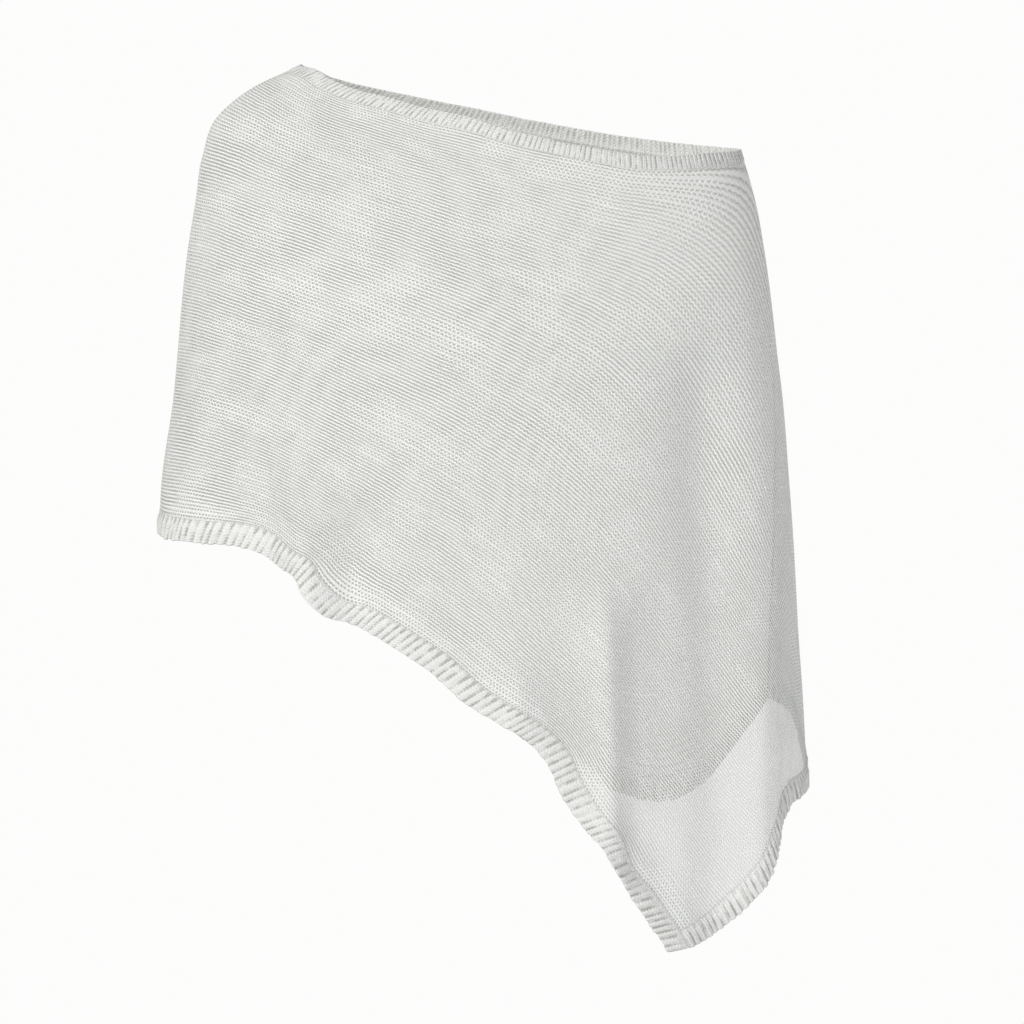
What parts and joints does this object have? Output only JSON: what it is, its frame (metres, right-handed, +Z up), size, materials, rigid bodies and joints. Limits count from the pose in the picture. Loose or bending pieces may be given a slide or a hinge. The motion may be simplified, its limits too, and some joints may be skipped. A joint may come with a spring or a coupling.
{
  "type": "knit poncho cover-up worn off one shoulder",
  "caption": "Sheer white knit poncho with ribbed edges and a slanted hem that drops to one corner, hanging hollow as worn off one shoulder",
  "frame": {"origin": "the mount shoulder_rest: on top of the held shoulder, at the peak of the neck edge, under the cloth", "axes": "+X to the far arm, the wearer's left; -Y to the front; +Z up"},
  "size_m": [0.5202, 0.2634, 0.6956],
  "materials": {
    "knit_white": "white fine-gauge sheer knit, reverse side out, matt",
    "rib_white": "white fine rib knit, matt"
  },
  "bodies": {
    "root": {"front_panel": "knit_white", "back_panel": "knit_white", "neck_rib_front": "rib_white", "neck_rib_back": "rib_white", "hem_rib_front": "rib_white", "hem_rib_back": "rib_white", "end_rib": "rib_white"}
  },
  "joints": []
}
